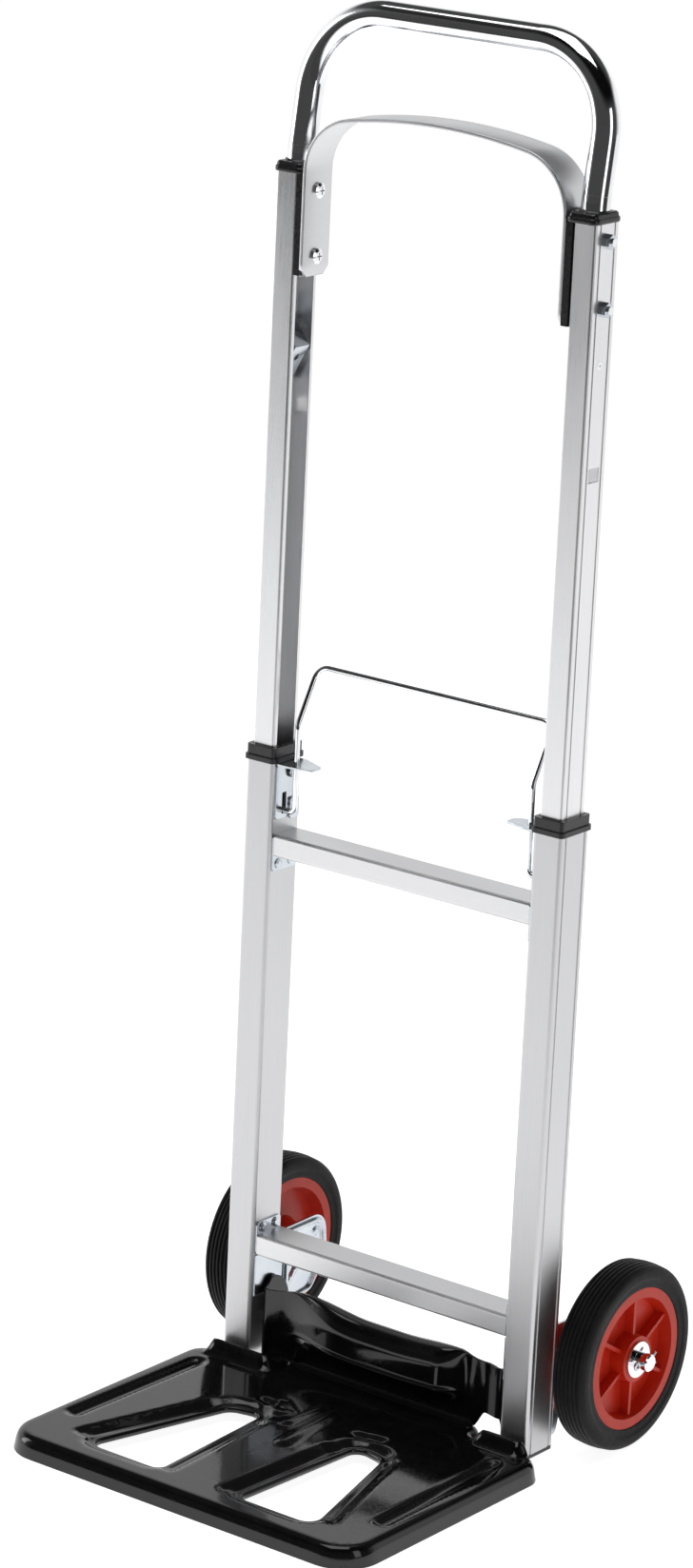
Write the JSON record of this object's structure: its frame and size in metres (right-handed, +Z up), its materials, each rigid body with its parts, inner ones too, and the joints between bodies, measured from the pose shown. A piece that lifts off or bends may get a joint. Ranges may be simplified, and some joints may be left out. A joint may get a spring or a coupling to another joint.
{
  "type": "folding hand truck",
  "caption": "Folding two-wheel hand truck: a telescoping aluminium frame with a bent handle tube, a hinged black toe plate and red-hubbed wheels on folding arms.",
  "frame": {"origin": "on the ground, under the middle of the truck's outline seen from above", "axes": "+X to the truck's right seen from behind the handle, +Y backwards to the wheels, +Z up"},
  "size_m": [0.4, 0.415, 1.102],
  "materials": {
    "aluminium": "fine brushed and clear anodised",
    "zinc": "bright zinc plated",
    "chrome": "polished",
    "black_plastic": "satin moulded",
    "black_paint": "gloss powder coat",
    "tyre": "matt solid rubber",
    "red_plastic": "satin moulded"
  },
  "bodies": {
    "frame": {"lower_rail_left": "aluminium", "lower_rail_right": "aluminium", "crossbar_upper": "aluminium", "crossbar_lower": "aluminium", "crossbar_bracket_upper_left": "zinc", "crossbar_bracket_upper_right": "zinc", "crossbar_bracket_lower_left": "zinc", "crossbar_bracket_lower_right": "zinc", "crossbar_rivets": "zinc", "collar_left": "black_plastic", "collar_right": "black_plastic", "foot_left": "black_plastic", "foot_right": "black_plastic", "latch_bracket_left": "zinc", "latch_bracket_right": "zinc", "latch_screws": "zinc", "latch_washers": "black_plastic", "hinge_bracket_left": "zinc", "hinge_bracket_right": "zinc", "hinge_pin_left": "zinc", "hinge_pin_right": "zinc", "hinge_rivets": "zinc", "pivot_pin_left": "zinc", "pivot_pin_right": "zinc"},
    "upper_frame": {"upper_rail_left": "aluminium", "upper_rail_right": "aluminium", "cap_left": "black_plastic", "cap_right": "black_plastic", "handle_tube": "chrome", "bow_strip": "aluminium", "spacer_left": "black_plastic", "spacer_right": "black_plastic", "strip_bolts": "chrome", "strip_nuts": "zinc", "detent_spring_left": "zinc", "detent_spring_right": "zinc", "detent_screws": "chrome", "glide_left": "black_plastic", "glide_right": "black_plastic"},
    "toe_plate": {"toe_plate": "black_paint"},
    "bail": {"release_bail": "chrome"},
    "latch_left": {"latch_pawl_left": "zinc"},
    "latch_right": {"latch_pawl_right": "zinc"},
    "arm_left": {"wheel_arm_left": "zinc", "axle_left": "chrome", "axle_washers_left": "chrome", "cotter_pin_left": "zinc"},
    "arm_right": {"wheel_arm_right": "zinc", "axle_right": "chrome", "axle_washers_right": "chrome", "cotter_pin_right": "zinc"},
    "wheel_left": {"tyre_left": "tyre", "hub_left": "red_plastic", "hub_bush_left": "black_plastic"},
    "wheel_right": {"tyre_right": "tyre", "hub_right": "red_plastic", "hub_bush_right": "black_plastic"}
  },
  "joints": [
    {"name": "upper_slide", "type": "slide", "parent": "frame", "child": "upper_frame", "axis": [0, 0, 1], "range_m": [-0.366, 0]},
    {"name": "toe_plate_fold", "type": "hinge", "parent": "frame", "child": "toe_plate", "pos_m": [0, 0.0615, 0.047], "axis": [-1, 0, 0], "range_deg": [0, 90]},
    {"name": "bail_lift", "type": "slide", "parent": "frame", "child": "bail", "axis": [0, 0, 1], "range_m": [0, 0.012], "stiffness_N_per_m": 300, "springref_m": -0.004},
    {"name": "latch_left_draw", "type": "slide", "parent": "frame", "child": "latch_left", "axis": [1, 0, 0], "range_m": [0, 0.0036]},
    {"name": "latch_right_draw", "type": "slide", "parent": "frame", "child": "latch_right", "axis": [-1, 0, 0], "range_m": [0, 0.0036]},
    {"name": "arm_left_fold", "type": "hinge", "parent": "frame", "child": "arm_left", "pos_m": [-0.128, 0.0865, 0.062], "axis": [0, 0, -1], "range_deg": [0, 90]},
    {"name": "arm_right_fold", "type": "hinge", "parent": "frame", "child": "arm_right", "pos_m": [0.128, 0.0865, 0.062], "axis": [0, 0, 1], "range_deg": [0, 90]},
    {"name": "wheel_left_spin", "type": "hinge", "parent": "arm_left", "child": "wheel_left", "pos_m": [-0.172, 0.1325, 0.075], "axis": [1, 0, 0], "continuous": true},
    {"name": "wheel_right_spin", "type": "hinge", "parent": "arm_right", "child": "wheel_right", "pos_m": [0.172, 0.1325, 0.075], "axis": [1, 0, 0], "continuous": true}
  ],
  "couplings": [
    {"joint": "latch_left_draw", "follows": "bail_lift", "ratio": 0.3},
    {"joint": "latch_right_draw", "follows": "bail_lift", "ratio": 0.3},
    {"joint": "arm_left_fold", "follows": "toe_plate_fold", "ratio": 1},
    {"joint": "arm_right_fold", "follows": "toe_plate_fold", "ratio": 1}
  ]
}
